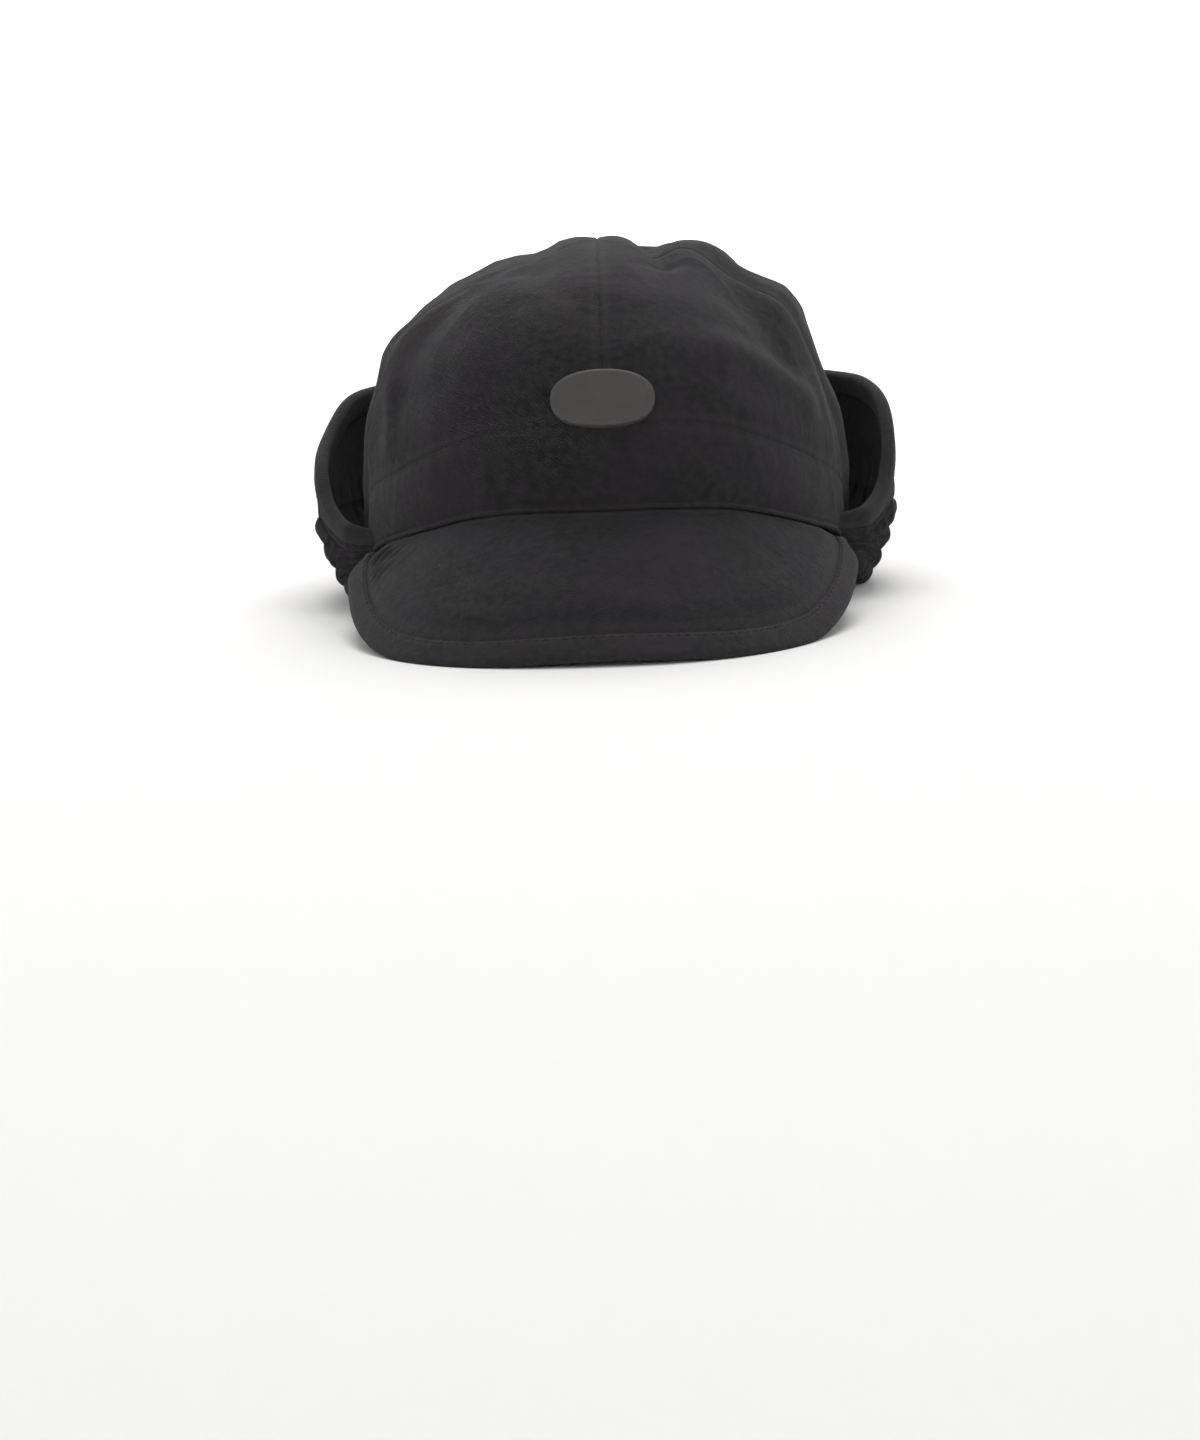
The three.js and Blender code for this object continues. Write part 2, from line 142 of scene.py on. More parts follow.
crown = {
    "halfWidth": 90.5,
    "frontReach": 100,
    "backReach": 106,
    "top": 131.5,
    "wallTop": 42,  # upright below this height
    "wallStep": 1.5,  # height of one degree of latitude on the upright wall
    "sideFullness": 2.2,
    "frontFullness": 2.8,
    "backFullness": 2.3,
    "cloth": 2.4,
    "sideSeam": 78,  # degrees from the front centre
    "tip": 89.94,
    "seamHeight": 44.5,  # the peak's seam at the front centre
    "bandHeight": 30,
    "seamDip": 1.3,
    "seamWidth": 4.5,
    "seamPuff": 1.1,
    "foldDepth": 4,
    "grooveDepth": 0.7,
    "grooveWidth": 0.6,
    "puckerDepth": 0.36,
    "puckerReach": 8,
    "puckerPitch": 4.2,
    "puckerLength": 30,
    "wrinkleDepth": 0.8,
    "wrinkleSize": 24,
    "creaseDepth": 0.6,
    "creaseSize": 34,
}
sideSeam = crown["sideSeam"]

crownSeams = [  # angle from the front, shares of the dip and of the groove
    (0, 0.3, 0.5),
    (sideSeam, 0.75, 0.85),
    (180, 0.75, 0.85),
    (-sideSeam, 0.75, 0.85),
]
bandShares = (0.22, 0.45)  # the same for the band's seam

rimRows = [  # angle from the front, share of the seam's height
    (0, 1.0), (13, 0.995), (28, 0.95), (45, 0.8), (57, 0.675), (68, 0.565),
    (78, 0.385), (88, 0.255), (98, 0.225), (140, 0.225), (180, 0.225),
]
bandRows = [(0, 1.0), (15, 0.985), (30, 0.95), (47, 0.88), (64, 0.79), (80, 0.77)]

# Folds on a map of the crown seen from above, in degrees from its top: two ends, width and share
# of foldDepth
crownFolds = [
    ((-2, -3), (-1, -26), 7, 0.45),  # raised top of the front seam
    ((-13, 16), (-12, -14), 4.2, -0.38),  # valley left of it, which gets shallower downwards
    ((-13, 16), (-14, -28), 5.5, -0.17),
    ((-13, 8), (-17, -42), 8, -0.1),
    ((10, 24), (12, -12), 3.8, -1.15),  # notch beside it
    ((19, -4), (26, 12), 8, 0.95),
    ((43, -12), (48, 8), 9, 1.15),  # right shoulder
    ((-48, -14), (-50, 12), 10, 0.75),  # left shoulder
    ((36, -21), (46, -30), 9, -0.75),
    ((30, -43), (58, -36), 8, 0.45),  # slanting ridge
    ((67, -4), (68, -22), 8, -0.4),
    ((-26, -2), (-46, -2), 12, -0.7),
    ((-54, -6), (-58, -20), 9, 0.5),
    ((-24, -20), (-34, -42), 12, 0.45),  # left front swell
    ((-20, 24), (-42, 46), 12, -0.4),
    ((14, 30), (30, 58), 13, 0.35),
    ((-11, -6), (-26, -16), 3.2, 0.3),  # sharper ridges and pulls, from here on
    ((-26, -16), (-54, -11), 3.4, 0.3),
    ((-20, -12), (-44, -24), 4.5, -0.22),
    ((-6, -4), (-6, -30), 2.6, -0.16),
    ((5, -6), (4, -20), 2.8, 0.2),
    ((26, 2), (50, 4), 3.4, 0.3),
    ((31, -41), (57, -35), 4.2, 0.2),
    ((26, -36), (52, -30), 4.2, -0.2),
    ((60, -25), (73, -31), 3.0, 0.28),
    ((-58, -26), (-66, -36), 3.6, 0.25),
    ((-40, -44), (-56, -34), 4.0, -0.2),
    ((12, -30), (20, -56), 4.5, -0.16),
]


def planPoint(angle):
    ahead = np.cos(angle * degree)
    reach = np.where(ahead > 0, crown["frontReach"], crown["backReach"])
    return joined(crown["halfWidth"] * np.sin(angle * degree), -reach * ahead, 0 * ahead)


def planNormal(angle):
    ahead = np.cos(angle * degree)
    reach = np.where(ahead > 0, crown["frontReach"], crown["backReach"])
    return unit(joined(np.sin(angle * degree) / crown["halfWidth"], -ahead / reach, 0 * ahead))


def fullnessAt(angle):
    ahead = np.cos(angle * degree)
    end = np.where(ahead > 0, crown["frontFullness"], crown["backFullness"])
    return crown["sideFullness"] + (end - crown["sideFullness"]) * ahead * ahead


def latitudeAt(angle, height):
    rise = height - crown["wallTop"]
    share = np.clip(rise / (crown["top"] - crown["wallTop"]), 0, 1)
    above = np.arcsin(share ** (fullnessAt(angle) / 2)) / degree
    return np.where(rise <= 0, rise / crown["wallStep"], above)


def crownPoint(angle, latitude):
    power = 2 / fullnessAt(angle)
    dome = np.clip(latitude, 0, 90) * degree
    point = planPoint(angle) * (np.cos(dome) ** power)[..., None]
    wall = np.minimum(latitude, 0) * crown["wallStep"]
    rise = (crown["top"] - crown["wallTop"]) * np.sin(dome) ** power
    point[..., 2] = crown["wallTop"] + wall + rise
    return point


def rimHeight(angle):
    return tableAt(planPoint(angle)[..., 1]) + crown["seamHeight"] * curveThrough(rimRows, angle)


def bandTop(angle):
    return rimHeight(angle) + crown["bandHeight"] * curveThrough(bandRows, angle)


def foldRelief(angle, latitude):
    reach = 90 - latitude
    spot = np.stack([np.sin(angle * degree) * reach, -np.cos(angle * degree) * reach], -1)
    lift = np.zeros(angle.shape)
    for start, end, width, share in crownFolds:
        line = np.subtract(end, start)
        along = np.clip((spot - start) @ line / (line @ line), 0, 1)
        distance = np.linalg.norm(spot - start - along[..., None] * line, axis=-1)
        lift += share * crown["foldDepth"] * hill(distance, width)
    return lift


def toBandSeam(angle, latitude):
    held = np.clip(angle, -sideSeam, sideSeam)
    seam = crownPoint(held, latitudeAt(held, bandTop(held)))
    return np.linalg.norm(crownPoint(angle, latitude) - seam, axis=-1)


def seamRelief(angle, latitude):
    # how far the seams pull the cloth in, and the distance to the nearest one
    place = crownPoint(angle, latitude)
    radius = np.linalg.norm(place[..., :2], axis=-1)
    toBand = toBandSeam(angle, latitude)
    distances, shares = [toBand], [bandShares]
    for seam, *share in crownSeams:
        turn = (angle - seam) * degree
        distance = np.where(np.cos(turn) > 0, abs(np.sin(turn)) * radius, radius)
        if seam == 0:  # it ends at the band
            below = place[..., 2] < bandTop(angle)
            distance = np.where(below, np.hypot(distance, toBand), distance)
        distances.append(distance)
        shares.append(share)
    distances = np.stack(distances)
    nearest = distances.min(axis=0)
    weights = 1 / (distances + 0.6) ** 3
    dipShare, grooveShare = np.tensordot(np.transpose(shares), weights, 1) / weights.sum(axis=0)
    dipShare *= 1 - 0.75 * ramp(latitude, 52, 78)
    puff = crown["seamPuff"] * hill(nearest - 2 * crown["seamWidth"], 1.5 * crown["seamWidth"])
    dip = (crown["seamDip"] + crown["seamPuff"]) * hill(nearest, crown["seamWidth"])
    groove = crown["grooveDepth"] * hill(nearest, crown["grooveWidth"])
    return dipShare * (puff - dip) - grooveShare * groove, nearest


def reliefPoint(angle, latitude, relief):
    step = 0.02
    east = crownPoint(angle + step, latitude) - crownPoint(angle - step, latitude)
    north = crownPoint(angle, latitude + step) - crownPoint(angle, latitude - step)
    return crownPoint(angle, latitude) + unit(np.cross(east, north)) * relief[..., None]


def clothPlaces(points):
    # millimetres of cloth across, from the middle column, and up, from the first row
    across = np.linalg.norm(np.diff(points, axis=1), axis=-1).cumsum(axis=1)
    across = np.concatenate([0 * across[:, :1], across], axis=1)
    across -= across[:, across.shape[1] // 2, None]
    up = np.linalg.norm(np.diff(points, axis=0), axis=-1).cumsum(axis=0)
    return across, np.concatenate([0 * up[:1], up], axis=0)


def puckers(along, distance, seed):
    # little pulls across a seam, which fade away from it
    across = along / crown["puckerPitch"]
    waves = roughness(joined(across, distance / crown["puckerLength"], seed + 0 * along), 1.0)
    return crown["puckerDepth"] * waves * hill(distance - 2.5, crown["puckerReach"])


def softWrinkles(points):
    # slow waves of the cloth with a few soft creases on them
    slow = roughness(points, crown["wrinkleSize"], 1.3) + 0.5 * roughness(points, 11, 8.3)
    crease = (1 - abs(roughness(points * (1, 1, 0.6), crown["creaseSize"], 4.3))) ** 7
    return crown["wrinkleDepth"] * slow + crown["creaseDepth"] * (crease - 0.3)


def crownRelief(angle, latitude):
    # all that lifts or sinks the crown and the band, the same on both sides of a seam
    plain = crownPoint(angle, latitude)
    relief, nearest = seamRelief(angle, latitude)
    radius = np.linalg.norm(plain[..., :2], axis=-1)
    toSide = abs(abs(angle) - sideSeam) * degree * radius
    toMiddle = abs(plain[..., 0])
    pulls = puckers(plain[..., 2], toSide, 2.1)
    pulls += 0.7 * puckers(plain[..., 2] + plain[..., 1], toMiddle, 3.1)
    pulls += puckers(angle * 1.6, toBandSeam(angle, latitude), 6.1)
    relief += pulls * (1 - 0.5 * ramp(latitude, 35, 70))
    relief += softWrinkles(plain) * (0.3 + 0.7 * ramp(nearest, 1, 12))
    return relief + foldRelief(angle, latitude), nearest


# Meshes


def toFloor(points):
    x, y, z = np.moveaxis(points, -1, 0)
    pitched = y * math.cos(restPitch * degree) - z * math.sin(restPitch * degree)
    height = y * math.sin(restPitch * degree) + z * math.cos(restPitch * degree)
    return joined(x, pitched + floorShift, np.maximum(height, 0)) / 1000


def makeMesh(name, points, faces, cloth, finish, smooth=50):
    # points in the worn frame; cloth holds millimetres across, along, and each point's share of the
    # lighter colour for rubbing and painted highlight
    mesh = bpy.data.meshes.new(name)
    mesh.from_pydata(toFloor(points).tolist(), [], faces)
    places = mesh.attributes.new("cloth", "FLOAT_VECTOR", "POINT")
    places.data.foreach_set("vector", np.asarray(cloth, np.float32).ravel())
    mesh.polygons.foreach_set("use_smooth", np.ones(len(mesh.polygons), bool))
    mesh.set_sharp_from_angle(angle=smooth * degree)
    mesh.materials.append(finish)
    mesh.update()
    piece = bpy.data.objects.new(name, mesh)
    bpy.context.scene.collection.objects.link(piece)
    return piece


def clothWall(name, outer, inner, wearAndPaintedLight, finish):
    # a closed wall from two grids of points, with a rim all round
    rows, columns = outer.shape[:2]
    spot = np.arange(rows * columns).reshape(rows, columns)
    quads = np.stack([spot[:-1, :-1], spot[:-1, 1:], spot[1:, 1:], spot[1:, :-1]], -1)
    quads = quads.reshape(-1, 4)
    ring = np.concatenate([spot[0, :-1], spot[:-1, -1], spot[-1, :0:-1], spot[:0:-1, 0]])
    following = np.roll(ring, -1)
    rim = np.stack([following, ring, ring + spot.size, following + spot.size], -1)
    faces = np.concatenate([quads, quads[:, ::-1] + spot.size, rim])
    points = np.concatenate([outer.reshape(-1, 3), inner.reshape(-1, 3)])
    corners = np.moveaxis(points[faces] - points.mean(axis=0), 1, 0)
    turned = np.cross(corners[1], corners[2]) + np.cross(corners[2], corners[3])
    if (corners[0] * turned).sum() < 0:  # the faces would point inwards
        faces = faces[:, ::-1]
    across, up = clothPlaces(outer)
    cloth = joined(across, up, wearAndPaintedLight).reshape(-1, 3)
    # inner faces take less of the rubbing and painted highlight
    cloth = np.concatenate([cloth, cloth * (1, 1, 0.3)])
    return makeMesh(name, points, faces.tolist(), cloth, finish)


def dress(piece, node):
    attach(piece, "root")
    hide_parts(node)
    return piece


# Finishes


class Wire:  # a socket that sums can be written with
    def __init__(self, tree, socket):
        self.tree = tree
        self.socket = socket

    def maths(self, operation, first, second):
        return self.tree.node("ShaderNodeMath", {"operation": operation}, {0: first, 1: second})

    def __add__(self, other):
        return self.maths("ADD", self, other)

    def __radd__(self, other):
        return self.maths("ADD", other, self)

    def __sub__(self, other):
        return self.maths("SUBTRACT", self, other)

    def __rsub__(self, other):
        return self.maths("SUBTRACT", other, self)

    def __mul__(self, other):
        return self.maths("MULTIPLY", self, other)

    def __rmul__(self, other):
        return self.maths("MULTIPLY", other, self)

    def __lt__(self, other):
        return self.maths("LESS_THAN", self, other)

    def __gt__(self, other):
        return self.maths("GREATER_THAN", self, other)


class Finish:  # a material and its nodes
    def __init__(self, name):
        self.material = bpy.data.materials.new(name)
        self.material.use_nodes = True
        self.nodes = self.material.node_tree.nodes
        self.nodes.clear()

    def node(self, kind, settings, sockets, out=0):
        made = self.nodes.new(kind)
        for key, value in settings.items():
            setattr(made, key, value)
        for key, value in sockets.items():
            if isinstance(value, Wire):
                self.material.node_tree.links.new(value.socket, made.inputs[key])
            else:
                made.inputs[key].default_value = value
        return Wire(self, made.outputs[out]) if made.outputs else None

    def mix(self, share, first, second):
        return self.node("ShaderNodeMix", {"data_type": "RGBA"}, {0: share, 6: first, 7: second}, 2)

    def grain(self, place, scale, detail, rough):
        sockets = {"Vector": place, "Scale": scale, "Detail": detail, "Roughness": rough}
        return self.node("ShaderNodeTexNoise", {}, sockets)

    def stretched(self, place, scale):
        return self.node("ShaderNodeVectorMath", {"operation": "MULTIPLY"}, {0: place, 1: scale})

    def surface(self, sockets):
        shader = self.node("ShaderNodeBsdfPrincipled", {}, sockets)
        self.node("ShaderNodeOutputMaterial", {}, {"Surface": shader})
        return self.material


def colour(red, green, blue):
    return (red, green, blue, 1.0)


cotton = {
    "deep": (0.0125, 0.0122, 0.0131),
    "soft": (0.0300, 0.0288, 0.0306),
    "rosy": (0.0260, 0.0222, 0.0268),  # where the dye has gone warmer
    # lighter colour for rubbed seams and edges, also painted highlight on raised folds, gather
    # crests, the welt and binding edges
    "worn": (0.0480, 0.0460, 0.0475),
    "lint": (0.14, 0.13, 0.12),
    "ribPitch": 0.85,  # millimetres between twill ribs
    "pickPitch": 0.55,
    "fuzzScale": 1.7,
    "napScale": 330,
    "patchScale": 45,
    "rosyScale": 28,
    "lintScale": 0.16,
    "lintSize": 0.05,
    "bumpHeight": 0.0004,
    "sheen": 0.13,
}


def cottonFinish(name, shade):
    finish = Finish(name)
    cloth = finish.node("ShaderNodeAttribute", {"attribute_name": "cloth"}, {}, "Vector")
    place = finish.node("ShaderNodeTexCoord", {}, {}, "Object")
    across = finish.node("ShaderNodeSeparateXYZ", {}, {0: cloth}, "X")
    along = finish.node("ShaderNodeSeparateXYZ", {}, {0: cloth}, "Y")
    wearAndPaintedLight = finish.node("ShaderNodeSeparateXYZ", {}, {0: cloth}, "Z")
    wander = finish.grain(cloth, 0.35, 2, 0.5)
    ribs = (across * 0.7 + along) * (2 * math.pi / cotton["ribPitch"]) + wander * 5
    rib = finish.node("ShaderNodeMath", {"operation": "SINE"}, {0: ribs}) * 0.5 + 0.5
    picks = (across - along * 0.4) * (2 * math.pi / cotton["pickPitch"]) + wander * 4
    pick = finish.node("ShaderNodeMath", {"operation": "SINE"}, {0: picks}) * 0.5 + 0.5
    fuzz = finish.grain(finish.stretched(cloth, (1.0, 0.45, 1.0)), cotton["fuzzScale"], 5, 0.75)
    nap = finish.grain(place, cotton["napScale"], 4, 0.6)
    patches = finish.grain(place, cotton["patchScale"], 4, 0.6)
    tone = nap * 2.8 + patches * 0.9 + fuzz * 1.3 - 2.0
    deep, soft = [colour(*[c * shade for c in cotton[key]]) for key in ("deep", "soft")]
    base = finish.mix(tone, deep, soft)
    warm = finish.grain(place, cotton["rosyScale"], 2, 0.5) * 1.6 - 0.4
    base = finish.mix(warm, base, colour(*cotton["rosy"]))
    # the lighter colour goes where the cloth is rubbed, and as painted highlight on raised folds,
    # gather crests, the welt and the binding's sewn edge
    rubbedAndLit = wearAndPaintedLight * (fuzz * 1.3 - 0.15)
    base = finish.mix(rubbedAndLit, base, colour(*cotton["worn"]))
    specks = {"Vector": cloth, "Scale": cotton["lintScale"]}
    near = finish.node("ShaderNodeTexVoronoi", {}, specks, "Distance")
    pickOf = finish.node("ShaderNodeTexVoronoi", {}, specks, "Color")
    chosen = finish.node("ShaderNodeSeparateXYZ", {}, {0: pickOf}, "X") > 0.93
    base = finish.mix((near < cotton["lintSize"]) * chosen * 0.6, base, colour(*cotton["lint"]))
    height = rib * 0.45 + rib * pick * 0.35 + fuzz * 1.4 + nap * 2.6
    sockets = {"Strength": 0.6, "Distance": cotton["bumpHeight"], "Height": height}
    bump = finish.node("ShaderNodeBump", {}, sockets)
    return finish.surface({
        "Base Color": base,
        "Roughness": 0.82 + fuzz * 0.2,
        "Normal": bump,
        "Specular IOR Level": 0.16,
        "Sheen Weight": cotton["sheen"],
        "Sheen Roughness": 0.45,
        "Sheen Tint": colour(0.55, 0.54, 0.57),
    })


rubber = {
    "deep": (0.053, 0.050, 0.047),
    "soft": (0.076, 0.072, 0.068),
    "grainScale": 2600,
    "cloudScale": 160,
    "bumpHeight": 0.00012,
}


def rubberFinish(name):
    finish = Finish(name)
    place = finish.node("ShaderNodeTexCoord", {}, {}, "Object")
    grain = finish.grain(place, rubber["grainScale"], 3, 0.6)
    cloudy = finish.grain(place, rubber["cloudScale"], 4, 0.6)
    base = finish.mix(cloudy * 1.4 - 0.2, colour(*rubber["deep"]), colour(*rubber["soft"]))
    sockets = {"Strength": 0.3, "Distance": rubber["bumpHeight"], "Height": grain + cloudy}
    bump = finish.node("ShaderNodeBump", {}, sockets)
    return finish.surface({
        "Base Color": base,
        "Roughness": 0.5 + cloudy * 0.25,
        "Normal": bump,
        "Specular IOR Level": 0.4,
    })


capCloth = cottonFinish("cap_cotton", 0.92)
flapCloth = cottonFinish("flap_cotton", 0.84)
bindingCloth = cottonFinish("binding_cotton", 0.9)
threadCloth = cottonFinish("sewing_thread", 1.25)
patchRubber = rubberFinish("patch_rubber")
print("cap: the finishes are ready")

# Bindings, folded round a sheet's edge

binding = {
    "cloth": 1,
    "gap": 0.3,
    "width": 6.5,
    "share": 0.6,  # most of a short sheet that its binding covers
    "leg": 0.2,  # share of the grid on each leg
    "seat": 0.15,  # how high its sewn-down edge stands
    "puff": 3.0,  # millimetres over which it swells from that edge
    "flatter": 0.4,  # how much flatter it lies on the face that shows
    "under": 0.04,  # how high its inner face stands off the sheet
    "rippleDepth": 0.16,
    "rippleLength": 5.5,
}


def coverOf(length):
    return np.minimum(binding["width"] / length, binding["share"])


def bindingPoint(edgeOf, cover, thickness, up, reach=None):
    # along the sheet's one face, round its edge and back over the other face
    leg = binding["leg"]
    full = binding["gap"] + binding["cloth"]
    half = thickness / 2 + (full if reach is None else reach)
    back = np.clip(np.where(up < 0.5, 1 - up / leg, 1 - (1 - up) / leg), 0, 1)
    turn = np.clip((up - leg) / (1 - 2 * leg), 0, 1) * math.pi
    point = edgeOf(1 - cover * back, -half * np.cos(turn))
    outward = unit(edgeOf(1 + 0 * cover, 0 * cover) - edgeOf(1 - cover, 0 * cover))
    return point + outward * (half * np.sin(turn))[..., None]


def bindingWall(name, edgeOf, cover, length, thickness, up, seed, slim=1.0):
    # slim is 1 where it has its full thickness
    leg = binding["leg"]
    fromEdge = np.minimum(up, 1 - up) / leg * cover * length  # from the sewn-down edge, on the legs
    swell = np.clip(fromEdge / binding["puff"], 0, 1)
    swell = np.sqrt(1 - (1 - swell) ** 2)
    full = binding["gap"] + binding["cloth"] - binding["seat"]
    full = full * (1 - binding["flatter"] * ramp(up, 0.45, 0.8))
    middle = bindingPoint(edgeOf, cover, thickness, up)
    across, around = clothPlaces(middle)
    along = across / binding["rippleLength"]
    ripple = roughness(joined(along, around / 9, seed + 0 * across), 1.0)
    ripple *= binding["rippleDepth"] * (0.1 + 0.9 * ramp(up, 0.4, 0.7))
    reach = (binding["seat"] + (full + ripple) * swell) * slim
    outer = bindingPoint(edgeOf, cover, thickness * slim, up, reach)
    under = binding["under"] * slim + 0 * reach
    inner = bindingPoint(edgeOf, cover, thickness * slim, up, under)
    # lighter along the folded edge where it is rubbed, and along the sewn-down edge, partly rubbing
    # and partly painted highlight
    wearAndPaintedLight = 0.2 + 0.35 * np.sin(math.pi * up) ** 3 + 0.65 * hill(fromEdge - 1.4, 1.1)
    return clothWall(name, outer, inner, wearAndPaintedLight, bindingCloth)


# Crown panels

panels = {
    "columns": 150,
    "frontRows": 112,
    "backRows": 120,
    "pull": 0.8,  # how much closer the columns lie at the seams
    "frontFlat": (0.133, 0.143, 0.0098),  # metres wide and long, and square metres
    "backFlat": (0.180, 0.202, 0.0242),
}


def crownPanel(name, fromAngle, toAngle, startHeight, rows):
    across, up = grid(panels["columns"], rows)
    angle = fromAngle + (toAngle - fromAngle) * towardsEnds(across, panels["pull"])
    start = latitudeAt(angle, startHeight(angle))
    latitude = start + (crown["tip"] - start) * up ** (1.25 if startHeight is bandTop else 1)
    relief, nearest = crownRelief(angle, latitude)
    outer = reliefPoint(angle, latitude, relief)
    inner = reliefPoint(angle, latitude, relief - crown["cloth"])
    # lighter on the seam ridges where rubbed, and painted highlight on raised folds
    wearAndPaintedLight = 0.5 * hill(nearest - 2.2, 1.6) + 0.3 * ramp(relief, 1, 4)
    piece = clothWall(name + "_cloth", outer, inner, wearAndPaintedLight, capCloth)
    return dress(piece, name)


# Front band, with the welt over the peak's seam

band = {
    "rows": 56,
    "weltHeight": 0.9,
    "weltWidth": 0.8,
    "weltLift": 0.45,
    "weltGroove": 0.35,
    "flat": (0.273, 0.032),
    "flatArea": 0.0077,
}


def frontBand():
    across, up = grid(2 * panels["columns"], band["rows"])
    fromMiddle = 2 * across - 1
    angle = sideSeam * np.sign(fromMiddle) * towardsEnds(abs(fromMiddle), panels["pull"])
    low, high = rimHeight(angle), bandTop(angle)
    latitude = latitudeAt(angle, low + (high - low) * towardsEnds(up, 0.5))
    sideways, upwards = clothPlaces(crownPoint(angle, latitude))
    relief, nearest = crownRelief(angle, latitude)
    above = ramp(upwards, 2.5, 9)
    welt = hill(upwards - band["weltHeight"], band["weltWidth"])
    groove = hill(upwards - band["weltHeight"] - 1.3, 0.5)
    full = relief * (0.15 + 0.85 * above) + band["weltLift"] * welt - band["weltGroove"] * groove
    full += 0.5 * puckers(sideways, upwards - 3, 23) * above
    outer = reliefPoint(angle, latitude, full)
    inner = reliefPoint(angle, latitude, relief * above - crown["cloth"])
    # painted highlight and rubbing on the welt's ridge, and rubbing on the seam ridges
    wearAndPaintedLight = 0.5 * welt + 0.4 * hill(nearest - 2.2, 1.6)
    piece = clothWall("front_band_cloth", outer, inner, wearAndPaintedLight, capCloth)
    return dress(piece, "front_band")


# Peak

peak = {
    "rootAngle": 67.5,
    "cloth": 3,
    "halfWidth": 88.5,
    "reach": 157.5,
    "back": 41,
    "squareness": 3.0,
    "rightSquareness": 2.42,  # the right corner is rounder, and the left one stands further out
    "leftOut": 3,
    "lift": 20,
    "camber": 3.5,
    "seamGap": 0.3,
    "columns": 300,
    "rows": 90,
    "bindingColumns": 440,
    "bindingRows": 44,
    "pull": 0.55,  # how much closer the columns lie at the corners
    "pressed": 0.6,
    "edgeDrop": 1.1,
    "stitchSink": 0.25,
    "padding": 0.7,
    "waveDepth": 0.55,
    "cornerStart": 0.82,  # share of the way to the corner where the edge starts to draw in
    "cornerIn": 0.6,
}

peakRows = [  # turn round the peak from its front centre, share of its lift
    (0, 0.11), (11, 0.08), (23, 0.01), (32, 0.0), (40, 0.04),
    (49, 0.22), (60, 0.5), (69, 0.73), (79, 0.92), (90, 1.0),
]

# Creases on the peak's upper face: ends as shares along and out, width in millimetres, lift
peakCreases = [
    ((-0.66, 0.06), (-0.68, 0.50), 2.6, -0.35),
    ((0.30, 0.04), (0.44, 0.50), 4.0, -0.3),
    ((0.62, 0.10), (0.80, 0.55), 3.2, 0.45),
    ((0.74, 0.06), (0.86, 0.40), 2.4, -0.45),
    ((-0.30, 0.62), (0.10, 0.78), 5.0, 0.3),
]


peakPulls = {  # little pulls near the left corner, placed by shares along and out
    "along": -0.73,
    "spread": 0.11,
    "out": 0.6,
    "reach": 0.28,
    "pitch": 0.038,
    "depth": 1.25,
}


def peakRoot(along):
    angle = along * peak["rootAngle"]
    root = crownPoint(angle, latitudeAt(angle, rimHeight(angle)))
    root = root - planNormal(angle) * crown["cloth"] / 2
    root[..., 2] = rimHeight(angle) - peak["seamGap"] - peak["cloth"] / 2
    return root


def peakOutline(along):
    # the outer edge, drawn in towards the band at its two ends
    root = peakRoot(along)
    drawn = peak["cornerIn"] * ramp(abs(along), peak["cornerStart"], 1.02)
    return root + (peakEdge(along) - root) * (1 - drawn)[..., None]


def peakEdge(along):
    turn = along * 90
    side = abs(np.sin(turn * degree)) / peak["halfWidth"]
    front = abs(np.cos(turn * degree)) / (peak["reach"] - peak["back"])
    square = np.where(along < 0, peak["squareness"], peak["rightSquareness"])
    reach = (side ** square + front ** square) ** (-1 / square)
    x = reach * np.sin(turn * degree)
    x -= peak["leftOut"] * ramp(-along, 0.15, 0.6)
    y = -peak["back"] - reach * np.cos(turn * degree)
    rest = peak["cloth"] / 2 + binding["gap"] + binding["cloth"]
    return joined(x, y, tableAt(y) + rest + peak["lift"] * curveThrough(peakRows, turn))


def peakSheet(along, out, off):
    root = peakRoot(along)
    slope = peakOutline(along) - root
    point = root + slope * out[..., None]
    point[..., 2] += peak["camber"] * 4 * out * (1 - out) * (1 - along * along)
    level = np.array([0.0, 0.0, 1.0])
    square = unit(level - slope * (slope[..., 2] / (slope * slope).sum(-1))[..., None])
    return point + unit(level + (square - level) * out[..., None]) * off[..., None]


def peakLength(along):
    return np.linalg.norm(peakOutline(along) - peakRoot(along), axis=-1)


def peakCover(along):
    # the binding gets narrower at the corners
    return coverOf(peakLength(along)) * (1 - 0.5 * ramp(abs(along), 0.78, 1))


def peakEdgeOf(along):
    # the sewn edge is pressed thin, and its underside stays where it rests
    return lambda out, lift: peakSheet(along, out, lift * peak["pressed"] - peak["edgeDrop"])


def peakLifts(flat, free):
    # the long creases, where free is the share of the cloth that isn't sewn down
    lifts = 0 * free
    for start, end, width, lift in peakCreases:
        first = peakSheet(np.array(start[0]), np.array(start[1]), np.array(0.0))
        line = peakSheet(np.array(end[0]), np.array(end[1]), np.array(0.0)) - first
        share = np.clip((flat - first) @ line / (line @ line), 0, 1)
        distance = np.linalg.norm(flat - first - share[..., None] * line, axis=-1)
        lifts += lift * hill(distance, width) * free
    return lifts


def peakPull(flat, along, out):
    phase = (along + 0.006 * roughness(flat, 9, 47)) / peakPulls["pitch"] + out * 0.4
    place = hill(along - peakPulls["along"], peakPulls["spread"])
    place = place * hill(out - peakPulls["out"], peakPulls["reach"])
    uneven = 0.6 + 0.8 * roughness(flat, 7, 49)
    return peakPulls["depth"] * uneven * np.sin(2 * math.pi * phase) * place


